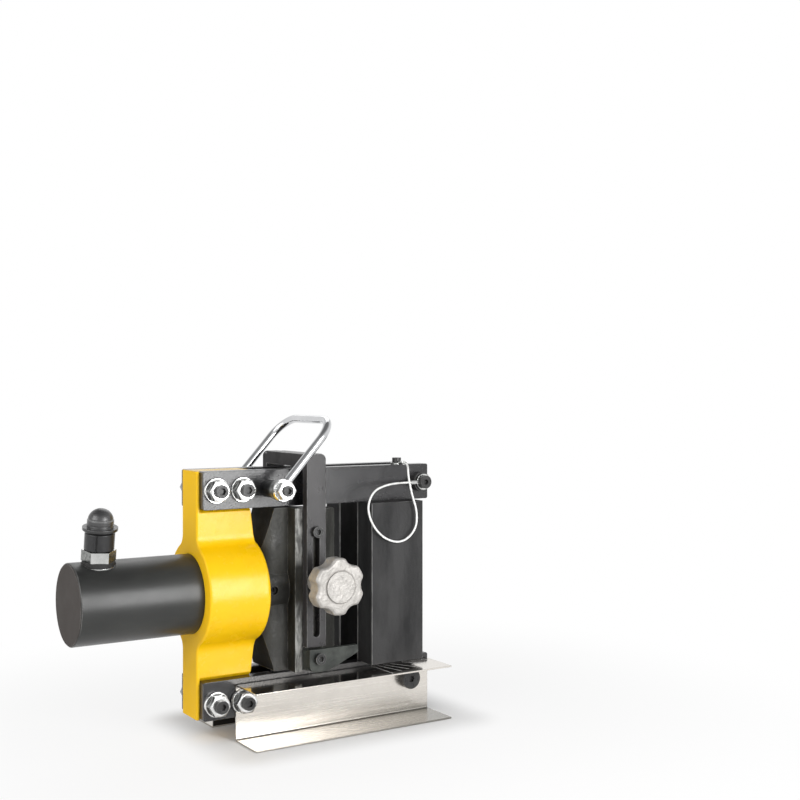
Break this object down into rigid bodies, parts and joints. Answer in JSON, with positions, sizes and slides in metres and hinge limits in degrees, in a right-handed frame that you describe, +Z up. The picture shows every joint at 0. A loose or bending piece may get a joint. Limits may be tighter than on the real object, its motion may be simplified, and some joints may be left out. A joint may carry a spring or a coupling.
{
  "type": "hydraulic flat bar bender",
  "caption": "Portable hydraulic bender whose ram pushes a V nose into a V die to bend flat bar that stands on edge, with a bar frame, sheet feet and a carrying handle.",
  "frame": {"origin": "on the floor, under the ram axis, midway along the two channel feet", "axes": "+X is the ram's working direction, the bar to be bent passes along Y, +Z is up"},
  "size_m": [0.359, 0.1621, 0.2977],
  "materials": {
    "yellow_paint": "gloss enamel over a casting",
    "black_paint": "semi-gloss black on flat bar",
    "barrel_paint": "smooth semi-gloss black on turned tube",
    "black_casting": "rough black painted casting with machined edges",
    "black_oxide": "black oxide on steel",
    "machined_steel": "turned",
    "hard_chrome": "ground and plated",
    "spring_steel": "drawn wire",
    "bronze": "turned",
    "seal_rubber": "matt",
    "zinc_plate": "bright zinc plate",
    "bright_chrome": "polished plate on bent rod",
    "cast_alloy": "pale die-cast surface",
    "stainless_sheet": "folded bright sheet with a fine grain",
    "cap_plastic": "moulded, slightly glossy",
    "white_coat": "clear white coat over wire"
  },
  "bodies": {
    "frame": {"yoke": "yellow_paint", "upper_front_bar": "black_paint", "upper_rear_bar": "black_paint", "lower_front_bar": "black_paint", "lower_rear_bar": "black_paint", "yoke_studs": "black_oxide", "yoke_nuts": "zinc_plate", "handle_stud": "black_oxide", "handle_spacers": "black_oxide", "handle_nuts": "zinc_plate", "cylinder_barrel": "barrel_paint", "gland_bush": "bronze", "rod_wiper": "seal_rubber", "return_spring": "spring_steel", "port_washer": "zinc_plate", "port_seal": "seal_rubber", "coupler_body": "zinc_plate", "v_die": "black_casting", "hinge_pin": "black_oxide", "hinge_nut": "zinc_plate", "front_channel": "stainless_sheet", "rear_channel": "stainless_sheet", "lanyard_screw": "black_oxide", "screw_eyelet": "zinc_plate", "lanyard_wire": "white_coat"},
    "ram": {"cylinder_piston": "machined_steel", "piston_seal": "seal_rubber", "ram_rod": "hard_chrome", "punch": "black_casting", "punch_set_screw": "black_oxide", "guide_screws": "black_oxide", "clamp_stud": "zinc_plate", "clamp_washer": "zinc_plate", "pointer": "black_oxide", "pointer_screw": "black_oxide"},
    "guide": {"guide_bracket": "black_paint"},
    "knob": {"star_knob": "cast_alloy"},
    "handle": {"carry_handle": "bright_chrome"},
    "gate_pin": {"gate_pin": "black_oxide", "pin_eyelet": "zinc_plate"},
    "dust_cap": {"dust_cap": "cap_plastic"},
    "coupler_sleeve": {"coupler_sleeve": "black_oxide"}
  },
  "joints": [
    {"name": "ram_slide", "type": "slide", "parent": "frame", "child": "ram", "axis": [1, 0, 0], "range_m": [0, 0.03], "stiffness_N_per_m": 1500, "springref_m": -0.03, "deforming": ["return_spring"]},
    {"name": "guide_height", "type": "slide", "parent": "ram", "child": "guide", "axis": [0, 0, 1], "range_m": [0, 0.01]},
    {"name": "knob_turn", "type": "hinge", "parent": "ram", "child": "knob", "pos_m": [-0.033, -0.07, 0.144], "axis": [0, -1, 0], "range_deg": [0, 360]},
    {"name": "handle_swing", "type": "hinge", "parent": "frame", "child": "handle", "pos_m": [-0.0725, 0, 0.2305], "axis": [0, 1, 0], "range_deg": [-100, 2]},
    {"name": "gate_pin_pull", "type": "slide", "parent": "frame", "child": "gate_pin", "axis": [0, -1, 0], "range_m": [0, 0.06], "deforming": ["lanyard_wire"]},
    {"name": "dust_cap_pull", "type": "slide", "parent": "frame", "child": "dust_cap", "axis": [0, -0.1736, 0.9848], "range_m": [0, 0.03]},
    {"name": "coupler_sleeve_turn", "type": "hinge", "parent": "frame", "child": "coupler_sleeve", "pos_m": [-0.228, -0.00981, 0.19064], "axis": [0, -0.1736, 0.9848], "continuous": true}
  ]
}
